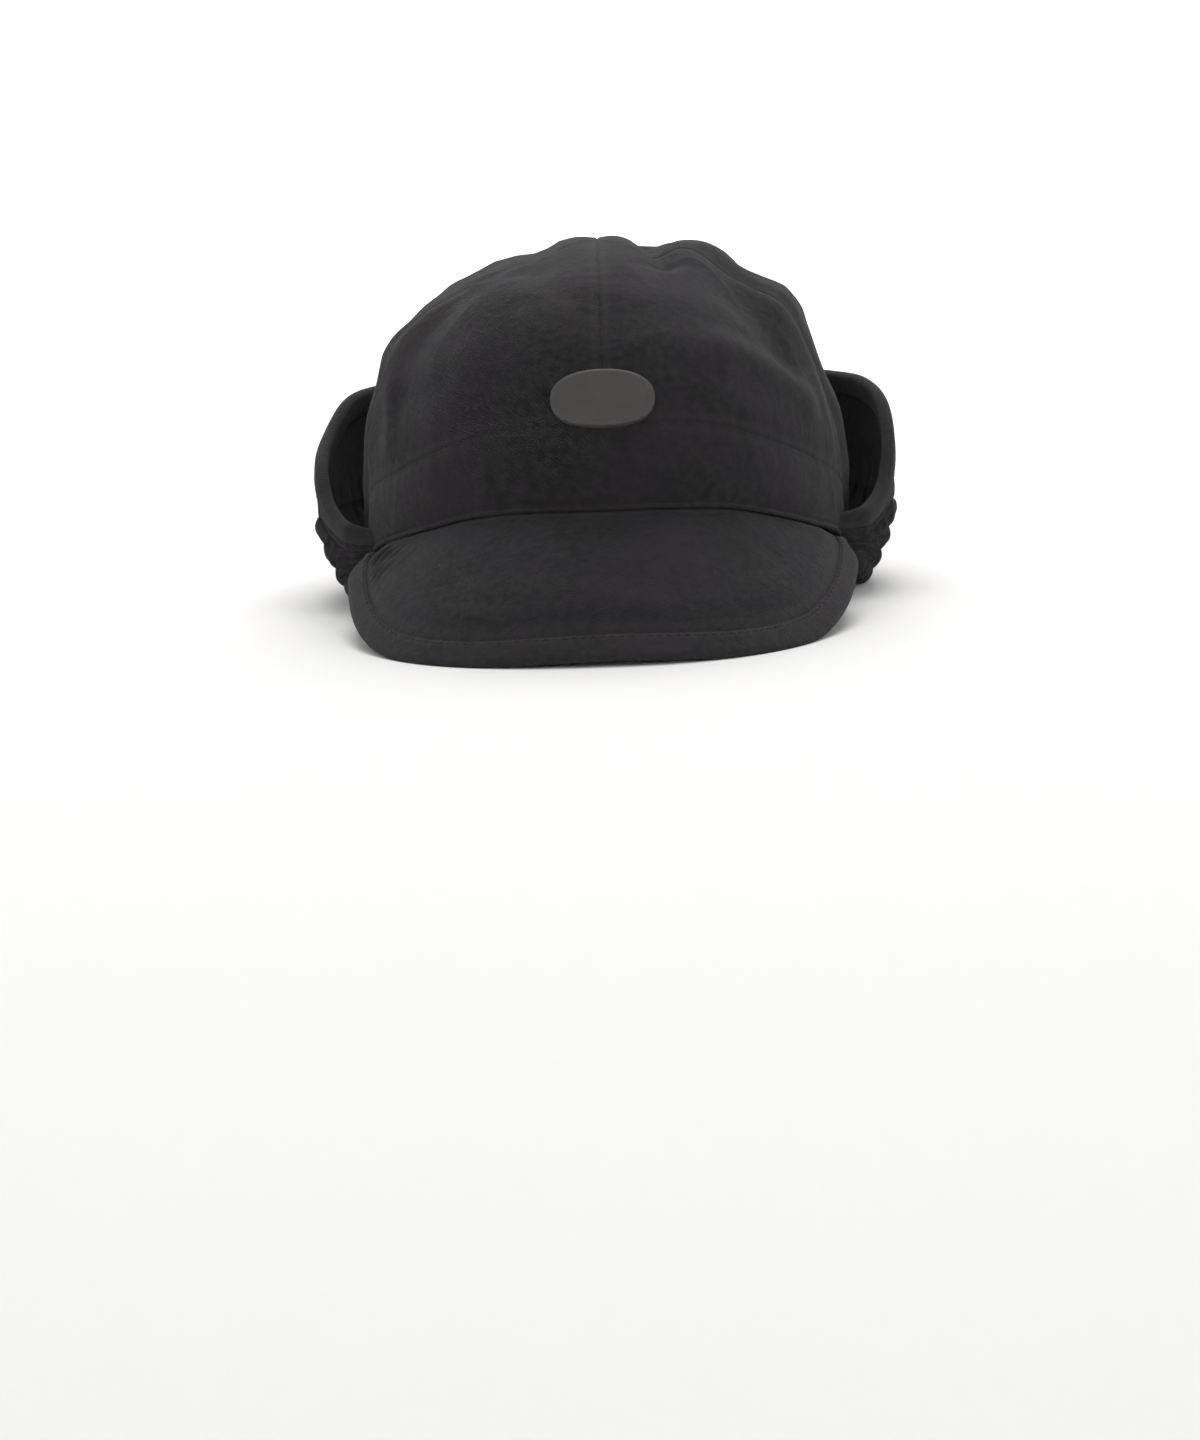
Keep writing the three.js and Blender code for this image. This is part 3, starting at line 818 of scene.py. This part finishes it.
def peakBody():
    across, out = grid(peak["columns"], peak["rows"])
    along = 2 * towardsEnds(across, peak["pull"]) - 1
    flat = peakSheet(along, out, 0 * out)
    length = peakLength(along)
    toBinding = (1 - peakCover(along) - out) * length
    rooted = ramp(out * length, 0, 5)
    free = ramp(toBinding, 0, 10) * rooted
    waves = roughness(flat, 27, 41) + 0.5 * roughness(flat, 12, 43)
    upper = peak["padding"] * free + peak["waveDepth"] * waves * free
    lower = peak["padding"] * 0.6 * free - peak["waveDepth"] * waves * free
    upper += peakLifts(flat, free)
    upper += peakPull(flat, along, out) * ramp(toBinding, -1, 5) * rooted
    upper -= peak["stitchSink"] * hill(toBinding - 0.3, 1.0)
    half = peak["cloth"] / 2
    atEdge = 1 - ramp(toBinding, -1, 12)
    sewn = half * peak["pressed"] * 0.95
    outer = peakSheet(along, out, half + upper + (sewn - half - peak["edgeDrop"]) * atEdge)
    inner = peakSheet(along, out, -half - lower + (half - sewn - peak["edgeDrop"]) * atEdge)
    # lighter line beside the binding, partly rubbing and partly painted highlight, and rubbing along
    # the root seam
    wearAndPaintedLight = 0.5 * hill(toBinding - 2.5, 2) + 0.25 * hill(out * length - 2, 2)
    piece = clothWall("peak_cloth", outer, inner, wearAndPaintedLight, capCloth)
    return dress(piece, "peak")


def peakBinding():
    across, up = grid(peak["bindingColumns"], peak["bindingRows"])
    along = 2 * towardsEnds(across, peak["pull"]) - 1
    edge, cover, length = peakEdgeOf(along), peakCover(along), peakLength(along)
    piece = bindingWall("peak_binding_cloth", edge, cover, length, peak["cloth"], up, 53)
    return dress(piece, "peak_binding")


def backShift():
    # how far the worn frame moves back on the floor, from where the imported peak's edge lies
    across = np.linspace(-0.6, 0.6, 200)
    front = bindingPoint(peakEdgeOf(across), peakCover(across), peak["cloth"], 0.5 + 0 * across)
    pitch = restPitch * degree
    turned = front[..., 1] * math.cos(pitch) - front[..., 2] * math.sin(pitch)
    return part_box("peak_binding")[0].y * 1000 - turned.min()


floorShift = backShift()

# Earflap, turned up over its shirred fold

flap = {
    "start": 69.2,  # degrees from the front centre
    "cloth": 3,
    "height": 72.5,
    "stand": 16.5,
    "foldRadius": 4.5,
    "foldSink": 1.2,
    "shirrHeight": 27,
    "elasticRows": 3,
    "tuckTo": 76,  # between its front end and this angle it comes out of the band's wall
    "tuckDepth": 1.2,
    "leftLow": 0.13,  # how much lower its left front corner is, about the angle lowAt
    "lowAt": 101,
    "lowSpread": 11,
    "puffDepth": 1.3,
    "gathers": 66,
    "gatherDepth": 0.95,
    "heldShare": 0.32,  # how much of the gathers is left under an elastic
    "threadSink": 0.35,
    "insideShare": 0.4,  # how much of the gathers shows on its inner face
    "thin": 15,  # millimetres over which it thins out at its ends
    "shirringFlat": (0.540, 0.054),  # metres, before it is gathered
    "shirringArea": 0.0260,
    "panelFlat": (0.473, 0.041),
    "panelArea": 0.0156,
    "columns": 600,
    "legRows": 3,
    "foldRows": 14,
    "puffRows": 13,
    "wallRows": 30,
    "bindingRows": 34,
    "run": 385,  # millimetres from temple to temple
}

flapRows = [  # angle, edge height, stand, fold radius and depth under the rim, as shares
    (69, 0.4, 0.27, 0.5, 1.2),
    (74, 0.41, 0.37, 0.7, 1.7),
    (79, 0.44, 0.56, 0.85, 2.1),
    (84.5, 0.53, 0.8, 1.0, 2.3),
    (90, 0.68, 0.95, 1.0, 2.2),
    (95.5, 0.81, 1.02, 1.0, 2.15),
    (101, 0.91, 1.05, 1.0, 2.15),
    (110, 0.985, 1.04, 1.0, 2.15),
    (122, 1.0, 1.02, 1.0, 2.15),
    (150, 0.985, 0.98, 1.0, 2.15),
    (180, 0.95, 0.95, 1.0, 2.15),
]
flapProfile = [  # rise from the fold to the edge, share of the stand
    (0, 0), (0.1, 0.12), (0.2, 0.3), (0.3, 0.55), (0.4, 0.8), (0.55, 1.02), (0.8, 1.08), (1.0, 1.0),
]


def flapShare(column, turn):
    return curveThrough([(row[0], row[column]) for row in flapRows], turn)


def flapAngle(across):
    return flap["start"] + (360 - 2 * flap["start"]) * across


def flapSizes(angle):
    turn = np.where(angle > 180, 360 - angle, angle)
    radius = flap["foldRadius"] * flapShare(3, turn)
    rim = crown["seamHeight"] * curveThrough(rimRows, turn) - peak["seamGap"]
    pressed = flap["cloth"] / 2 - flap["foldSink"]
    bottom = np.maximum(rim - flap["foldRadius"] * flapShare(4, turn), pressed)
    lowered = 1 - flap["leftLow"] * hill(turn - flap["lowAt"], flap["lowSpread"]) * (angle > 180)
    wall = flap["height"] * flapShare(1, turn) * lowered - bottom - radius
    return turn, radius, rim, bottom, wall


def flapSection(angle, rise):
    # how far the flap stands off the rim, and its height above the table
    turn, radius, rim, bottom, wall = flapSizes(angle)
    bend = np.clip(-rise, 0, 1) * math.pi
    off = radius - crown["cloth"] / 2 + radius * np.cos(bend)
    height = bottom + radius - radius * np.sin(bend)
    stand = np.maximum(flap["stand"] * flapShare(2, turn) - (2 * radius - crown["cloth"] / 2), 0)
    off += np.where(rise > 0, stand * curveThrough(flapProfile, np.maximum(rise, 0)), 0)
    height += np.where(rise > 0, wall * rise, 0)
    height += np.where(rise < -1, (rim - bottom - radius) * (-rise - 1), 0)
    tucked = 1 - ramp(turn, flap["start"], flap["tuckTo"])
    return np.stack([off - (off + flap["tuckDepth"]) * tucked, height], -1)


def flapSheet(angle, rise, off):
    step = 0.01
    section = flapSection(angle, rise)
    slope = unit(flapSection(angle, rise + step) - flapSection(angle, rise - step))
    section = section + np.stack([slope[..., 1], -slope[..., 0]], -1) * off[..., None]
    point = planPoint(angle) + planNormal(angle) * section[..., :1]
    point[..., 2] = tableAt(point[..., 1]) + section[..., 1]
    return point


def shirrTop(angle):
    wall = flapSizes(angle)[4]
    return np.minimum(flap["shirrHeight"] / wall, 0.9 * (1 - coverOf(wall)))


def gathersAt(across, above):
    # uneven gathers round the flap, which drift from one elastic row to the next
    spot = joined(across * 23, above * 0.3, 61 + 0 * across)
    drift = roughness(spot, 1.0) * 1.0 + roughness(spot * (3.1, 1.5, 1), 1.0) * 0.4
    size = 1 + 0.55 * roughness(joined(across * 47, above * 0.9, 71 + 0 * across), 1.0)
    wave = np.cos(2 * math.pi * (flap["gathers"] * across + drift))
    return (wave + 0.25 * wave * wave - 0.12) * size


def endTaper(across):
    # walls thin out over the last millimetres at the flap's two ends
    share = np.clip(np.minimum(across, 1 - across) * flap["run"] / flap["thin"], 0.0, 1)
    return np.maximum(np.sqrt(1 - (1 - share) ** 2), 0.15)


def shirring():
    foldEnd = flap["legRows"] + flap["foldRows"]
    rows = foldEnd + flap["puffRows"] * flap["elasticRows"]
    across, up = grid(flap["columns"], rows)
    angle, row = flapAngle(across), up * rows
    above = np.maximum(row - foldEnd, 0) / flap["puffRows"]
    turned = np.clip((row - flap["legRows"]) / flap["foldRows"], 0, 1)
    leg = np.minimum(row / flap["legRows"], 1)
    puff = abs(np.sin(math.pi * above)) ** 0.75
    held = flap["heldShare"] + (1 - flap["heldShare"]) * puff
    atFold = flap["heldShare"] + 0.3 * np.sin(math.pi * turned)
    held = np.where(above > 0, held, atFold) * ramp(leg + turned, 0.1, 1.2)
    gather = gathersAt(across, above + turned * 0.8)
    relief = flap["puffDepth"] * puff + flap["gatherDepth"] * held * gather
    thread = flap["threadSink"] * hill(above - np.round(above), 0.045) * (above > 0)
    rise = np.where(above > 0, above / flap["elasticRows"] * shirrTop(angle), leg + turned - 2)
    half = flap["cloth"] / 2 * endTaper(across)
    outer = flapSheet(angle, rise, relief - thread + half)
    inner = flapSheet(angle, rise, flap["insideShare"] * relief - half)
    # painted highlight on the crests of the held gathers, partly rubbing, and painted shade in their
    # valleys
    wearAndPaintedLight = 0.35 * ramp(gather * held, 0.3, 1.2) - 0.3 * ramp(-gather * held, 0.2, 0.9)
    piece = clothWall("earflap_shirring_cloth", outer, inner, wearAndPaintedLight, flapCloth)
    return dress(piece, "earflap_shirring")


def flapPanel():
    across, up = grid(flap["columns"], flap["wallRows"])
    angle = flapAngle(across)
    wall = flapSizes(angle)[4]
    start = shirrTop(angle)
    rise = start + (1 - start) * up
    fromShirring = (rise - start) * wall
    toBinding = (1 - coverOf(wall) - rise) * wall
    gather = gathersAt(across, 3 + 0.8 + fromShirring / 40)
    free = ramp(toBinding, 0, 8)
    fading = flap["heldShare"] * np.exp(-fromShirring / 5) + 0.3 * hill(fromShirring - 6, 7) * free
    relief = flap["gatherDepth"] * gather * fading
    flat = flapSheet(angle, rise, 0 * rise)
    waves = 0.6 * roughness(flat, 22, 81) + 0.3 * roughness(flat, 9, 83)
    relief += waves * free * ramp(fromShirring, 0, 8)
    half = flap["cloth"] / 2 * endTaper(across)
    thread = flap["threadSink"] * hill(fromShirring, 0.5)
    outer = flapSheet(angle, rise, relief - thread + half)
    inner = flapSheet(angle, rise, flap["insideShare"] * relief - half)
    # painted highlight on the gather crests near the shirring, and a rubbed line beside the binding
    wearAndPaintedLight = 0.25 * ramp(gather, 0.4, 1.3) * hill(fromShirring, 8) + 0.3 * hill(toBinding - 2, 1.5)
    piece = clothWall("earflap_cloth", outer, inner, wearAndPaintedLight, flapCloth)
    return dress(piece, "earflap")


def flapBinding():
    across, up = grid(flap["columns"], flap["bindingRows"])
    angle = flapAngle(across)
    wall = flapSizes(angle)[4]
    slim = endTaper(across)
    turn = np.minimum(angle, 360 - angle)
    cover = coverOf(wall) * (0.5 + 0.5 * slim) * (0.75 + 0.25 * ramp(turn, 76, 98))
    edgeOf = lambda out, lift: flapSheet(angle, out, -lift)
    piece = bindingWall("earflap_binding_cloth", edgeOf, cover, wall, flap["cloth"], up, 91, slim)
    return dress(piece, "earflap_binding")


# Patch, an oval with a raised rim, seated on the cloth

patch = {
    "length": 35,
    "height": 19.8,
    "thickness": 1.5,
    "latitude": 27.2,
    "rings": 40,
    "sides": 144,
    "squareness": 2.35,
    "rimLift": 0.3,
    "rimPlace": 0.9,
    "rimWidth": 0.05,
    "bevel": 0.55,
    "seatGap": 0.08,
    "reach": 4,  # from how far out the cloth under it is looked for
}


def patchSeat(low, facing, under):
    # the patch's lower face, let down onto the cloth, whose faces are in the tree named under
    seat = low.copy()
    down = toFloor(low - facing) - toFloor(low)
    for i in range(low.shape[0]):
        for j in range(low.shape[1]):
            start = Vector(toFloor(low[i, j] + facing * patch["reach"]))
            hit = under.ray_cast(start, Vector(down[i, j]).normalized(), 0.02)[0]
            if hit is not None:
                depth = (hit - start).length * 1000 - patch["reach"]
                seat[i, j] = low[i, j] - facing * (depth - patch["seatGap"])
    return seat


def frontPatch(under):
    middle = crownPoint(np.array(0.0), np.array(float(patch["latitude"])))
    above = crownPoint(np.array(0.0), np.array(patch["latitude"] + 1.0))
    rise = unit(above - middle)
    facing = np.array([0, -rise[2], rise[1]])
    bend = -middle[1] * crown["halfWidth"] ** 2 / crown["frontReach"] ** 2
    around = np.linspace(0, 2 * math.pi, patch["sides"], endpoint=False)
    power = patch["squareness"]
    reach = (abs(np.cos(around)) ** power + abs(np.sin(around)) ** power) ** (-1 / power)
    share = np.sin(np.linspace(0, 1, patch["rings"] + 1) * math.pi / 2)[:, None]
    x = share * reach * np.cos(around) * patch["length"] / 2
    up = share * reach * np.sin(around) * patch["height"] / 2
    toEdge = (1 - share) * patch["height"] / 2
    rounded = np.sqrt(1 - (1 - np.clip(toEdge / patch["bevel"], 0, 1)) ** 2)
    rim = patch["rimLift"] * hill(share - patch["rimPlace"], patch["rimWidth"])
    front = patch["thickness"] - patch["bevel"] + patch["bevel"] * rounded + rim
    base = crown["seamPuff"] + peak["seamGap"]

    def bent(out):
        turn = x / bend
        ahead = (bend + out) * np.cos(turn) - bend
        point = middle + rise * up[..., None] + facing * ahead[..., None]
        point[..., 0] += (bend + out) * np.sin(turn)
        return point

    top = bent(base + front)
    seat = patchSeat(bent(0 * front + base), facing, under)
    rows, sides = x.shape
    spot = np.arange(rows * sides).reshape(rows, sides)
    beside = np.roll(spot, -1, axis=1)
    quads = np.stack([spot[:-1], beside[:-1], beside[1:], spot[1:]], -1).reshape(-1, 4)[:, ::-1]
    rimFaces = np.stack([beside[-1] + spot.size, spot[-1] + spot.size, spot[-1], beside[-1]], -1)
    faces = np.concatenate([quads, quads[:, ::-1] + spot.size, rimFaces]).tolist()
    points = np.concatenate([top.reshape(-1, 3), seat.reshape(-1, 3)])
    piece = makeMesh("front_patch_rubber", points, faces, 0 * points, patchRubber, smooth=60)
    clean(piece)
    return dress(piece, "front_patch")


def clean(piece):
    # points that share a place become one, and faces point out
    work = bmesh.new()
    work.from_mesh(piece.data)
    bmesh.ops.remove_doubles(work, verts=work.verts, dist=1e-7)
    bmesh.ops.recalc_face_normals(work, faces=work.faces)
    work.to_mesh(piece.data)
    work.free()


# Stitches

stitch = {
    "length": 2.4,
    "gap": 0.75,
    "radius": 0.24,
    "sides": 6,
    "inset": 1.25,  # from a binding's sewn-down edge
    "rise": 0.72,  # height there above the cloth that the binding holds
}


def stitchRow(line, outward):
    # short raised threads along a line of points, as loose capsules in one list of points and faces
    steps = np.linalg.norm(np.diff(line, axis=0), axis=1)
    run = np.concatenate([[0], steps.cumsum()])
    pitch = stitch["length"] + stitch["gap"]
    starts = np.arange(int(run[-1] / pitch)) * pitch + stitch["gap"] / 2
    shares = np.array([0, 0.12, 0.5, 0.88, 1])
    at = starts[:, None] + shares * stitch["length"]
    centre = np.stack([np.interp(at, run, line[:, k]) for k in range(3)], -1)
    normal = unit(np.stack([np.interp(at, run, outward[:, k]) for k in range(3)], -1))
    centre = centre + normal * (np.array([-1.1, 0.1, 0.45, 0.1, -1.1]) * stitch["radius"])[:, None]
    ahead = unit(centre[:, -1:] - centre[:, :1])
    side = np.cross(normal, ahead)
    size = stitch["radius"] * np.array([0.45, 0.95, 1.0, 0.95, 0.45])[:, None, None]
    turn = np.arange(stitch["sides"]) / stitch["sides"] * 2 * math.pi
    ring = np.cos(turn)[:, None] * side[:, :, None] + np.sin(turn)[:, None] * normal[:, :, None]
    points = (centre[:, :, None] + ring * size).reshape(-1, 3)
    sides, rings = stitch["sides"], len(shares)
    faces = []
    for first in range(0, len(points), sides * rings):
        for k in range(rings - 1):
            for s in range(sides):
                a, b = first + k * sides + s, first + k * sides + (s + 1) % sides
                faces.append((a, b, b + sides, a + sides))
        faces.append(tuple(first + s for s in reversed(range(sides))))
        faces.append(tuple(first + (rings - 1) * sides + s for s in range(sides)))
    return points, faces


def stitching(name, rows):
    points, faces = [], []
    for line, outward in rows:
        placed, shown = stitchRow(line, outward)
        faces += [tuple(i + len(points) for i in face) for face in shown]
        points += placed.tolist()
    points = np.array(points)
    cloth = joined(points[:, 0], points[:, 1] + points[:, 2], 0.2 + 0 * points[:, 0])
    piece = makeMesh(name, points, faces, cloth, threadCloth)
    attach(piece, "root")
    return piece


def peakStitches():
    along = np.linspace(-0.995, 0.995, 900)
    cover, length = peakCover(along), peakLength(along)
    out = 1 - cover + stitch["inset"] / length
    rows = []
    for sign in (1, -1):
        height = sign * (peak["cloth"] / 2 + stitch["rise"]) * peak["pressed"] - peak["edgeDrop"]
        line = peakSheet(along, out, height + 0 * out)
        outward = unit(peakSheet(along, out, height + sign + 0 * out) - line)
        rows.append((line, outward))
    return stitching("peak_stitches", rows)


def flapStitches():
    across = np.linspace(0.006, 0.994, 1800)
    angle = flapAngle(across)
    rows = []
    for elastic in range(1, flap["elasticRows"] + 1):
        rise = elastic / flap["elasticRows"] * shirrTop(angle)
        gather = gathersAt(across, elastic + 0.8 + 0 * across)
        off = flap["gatherDepth"] * flap["heldShare"] * gather - flap["threadSink"]
        off += flap["cloth"] / 2
        line = flapSheet(angle, rise, off)
        rows.append((line, unit(flapSheet(angle, rise, off + 1) - line)))
    wall = flapSizes(angle)[4]
    rise = 1 - coverOf(wall) + stitch["inset"] / wall
    off = flap["cloth"] / 2 + stitch["rise"] + 0 * rise
    line = flapSheet(angle, rise, off)
    rows.append((line, unit(flapSheet(angle, rise, off + 1) - line)))
    return stitching("earflap_stitches", rows)


# The pieces

made = [
    crownPanel("crown_front_left", -sideSeam, 0, bandTop, panels["frontRows"]),
    crownPanel("crown_front_right", 0, sideSeam, bandTop, panels["frontRows"]),
    crownPanel("crown_back_right", sideSeam, 180, rimHeight, panels["backRows"]),
    crownPanel("crown_back_left", -180, -sideSeam, rimHeight, panels["backRows"]),
    frontBand(),
]
print("cap: crown and band are sewn")


def treeOf(pieces):
    points, faces = [], []
    for piece in pieces:
        first = len(points)
        points += [tuple(vertex.co) for vertex in piece.data.vertices]
        faces += [tuple(first + i for i in face.vertices) for face in piece.data.polygons]
    return BVHTree.FromPolygons(points, faces)


frontPatch(treeOf([made[0], made[1], made[4]]))
peakBody()
peakBinding()
print("cap: peak and patch are on")
shirring()
flapPanel()
flapBinding()
peakStitches()
flapStitches()
print("cap: the earflap is turned up")

# Floor, backdrop and light

studio = {
    "floorReach": 2.2,  # metres from the cap to where the floor curves up
    "curve": 0.9,
    "wallHeight": 3.2,
    "pale": (0.86, 0.86, 0.85),
    "skyStrength": 0.62,
    "keyPlace": (0.12, 1.0, 1.8),
    "keySize": 1.5,
    "keyPower": 34,
    "wallPlace": (0, 1.3, 1.4),
    "wallSize": 2.2,
    "wallPower": 52,
}


def makeBackdrop():
    reach, curve = studio["floorReach"], studio["curve"]
    turns = np.linspace(0, math.pi / 2, 13)[1:]
    profile = [(reach / 4, 0), (reach / 2, 0), (reach, 0)]
    profile += [(reach + curve * math.sin(turn), curve * (1 - math.cos(turn))) for turn in turns]
    profile.append((reach + curve, studio["wallHeight"]))
    sides = 96
    points, faces = [(0, 0, 0)], []
    for out, height in profile:
        for turn in np.arange(sides) / sides * 2 * math.pi:
            points.append((out * math.cos(turn), out * math.sin(turn), height))
    for k in range(sides):
        beside = (k + 1) % sides
        faces.append((0, 1 + k, 1 + beside))
        for ring in range(len(profile) - 1):
            first = 1 + ring * sides
            faces.append((first + k, first + sides + k, first + sides + beside, first + beside))
    mesh = bpy.data.meshes.new("backdrop")
    mesh.from_pydata(points, [], faces)
    mesh.polygons.foreach_set("use_smooth", np.ones(len(mesh.polygons), bool))
    finish = Finish("pale_paper")
    place = finish.node("ShaderNodeTexCoord", {}, {}, "Object")
    cloudy = finish.grain(place, 1.5, 2, 0.5)
    pale = finish.mix(cloudy, colour(*[c * 0.985 for c in studio["pale"]]), colour(*studio["pale"]))
    sockets = {"Base Color": pale, "Roughness": 0.9, "Specular IOR Level": 0.1}
    mesh.materials.append(finish.surface(sockets))
    backdrop = bpy.data.objects.new("backdrop", mesh)
    bpy.context.scene.collection.objects.link(backdrop)


def makeLight(name, which, target, tint):
    light = bpy.data.lights.new(name, "AREA")
    light.shape = "SQUARE"
    light.size = studio[which + "Size"]
    light.energy = studio[which + "Power"]
    light.color = tint
    lamp = bpy.data.objects.new(name, light)
    place = Vector(studio[which + "Place"])
    turn = (Vector(target) - place).to_track_quat("-Z", "Y")
    lamp.matrix_world = Matrix.Translation(place) @ turn.to_matrix().to_4x4()
    bpy.context.scene.collection.objects.link(lamp)


def makeSky():
    world = bpy.data.worlds.new("sky")
    world.use_nodes = True
    sky = world.node_tree.nodes["Background"]
    sky.inputs["Color"].default_value = (0.97, 0.98, 1.0, 1.0)
    sky.inputs["Strength"].default_value = studio["skyStrength"]
    bpy.context.scene.world = world


makeBackdrop()
makeSky()
makeLight("key_light", "key", (0, 0, 0.05), (1.0, 0.98, 0.96))
makeLight("wall_light", "wall", (0, 3, 1), (1.0, 1.0, 1.0))
bpy.context.scene.view_settings.view_transform = "Standard"
print("cap: floor and light are set")
